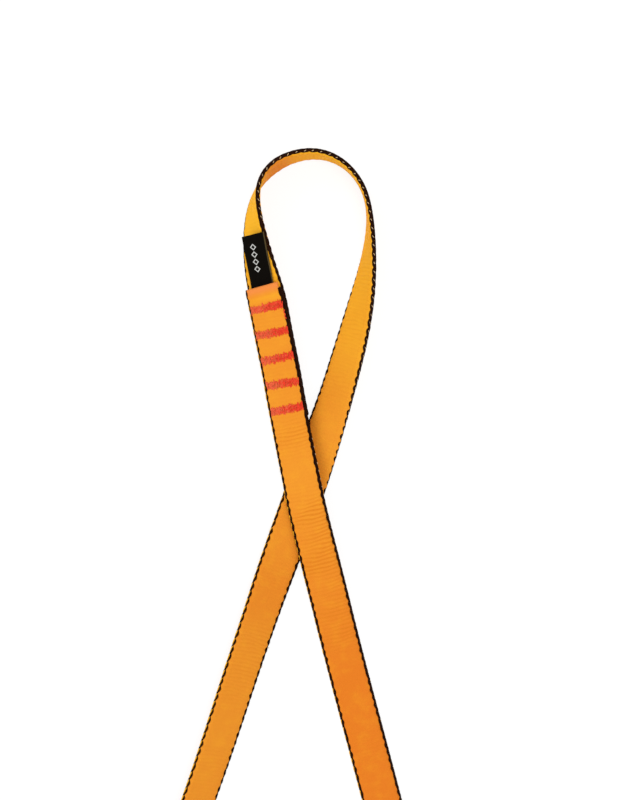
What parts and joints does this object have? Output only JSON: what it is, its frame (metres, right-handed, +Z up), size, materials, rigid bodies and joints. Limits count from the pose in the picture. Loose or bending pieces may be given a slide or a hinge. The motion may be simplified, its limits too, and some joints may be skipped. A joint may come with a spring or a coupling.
{
  "type": "climbing sling",
  "caption": "Sewn loop of flat orange webbing with black edges, laid in a figure of eight, with a bar-tacked lap and a folded label. Joins anchors and carabiners.",
  "frame": {"origin": "on the floor, under the middle of the whole sling's box", "axes": "+Y along the sling, from the large loop to the small loop; +Z up from the surface it lies on; +X to the right, seen from above"},
  "size_m": [0.1512, 0.531, 0.0181],
  "materials": {
    "orange_webbing": "orange woven nylon tape with fine cross ribs",
    "black_edge_yarn": "black woven nylon edge",
    "red_thread": "red zigzag sewing thread",
    "label_ribbon": "black woven label ribbon"
  },
  "bodies": {
    "sling": {"webbing_tape": "orange_webbing", "edge_yarn_right": "black_edge_yarn", "edge_yarn_left": "black_edge_yarn", "tack_needle_thread_1": "red_thread", "tack_needle_thread_2": "red_thread", "tack_needle_thread_3": "red_thread", "tack_needle_thread_4": "red_thread", "tack_needle_thread_5": "red_thread", "tack_bobbin_thread_1": "red_thread", "tack_bobbin_thread_2": "red_thread", "tack_bobbin_thread_3": "red_thread", "tack_bobbin_thread_4": "red_thread", "tack_bobbin_thread_5": "red_thread", "label_tail": "label_ribbon"},
    "label": {"label_flap": "label_ribbon"}
  },
  "joints": [
    {"name": "label_hinge", "type": "hinge", "parent": "sling", "child": "label", "pos_m": [-0.00655, 0.20776, 0.0072], "axis": [0.9156, 0.0307, 0.4009], "range_deg": [0, 90]}
  ]
}
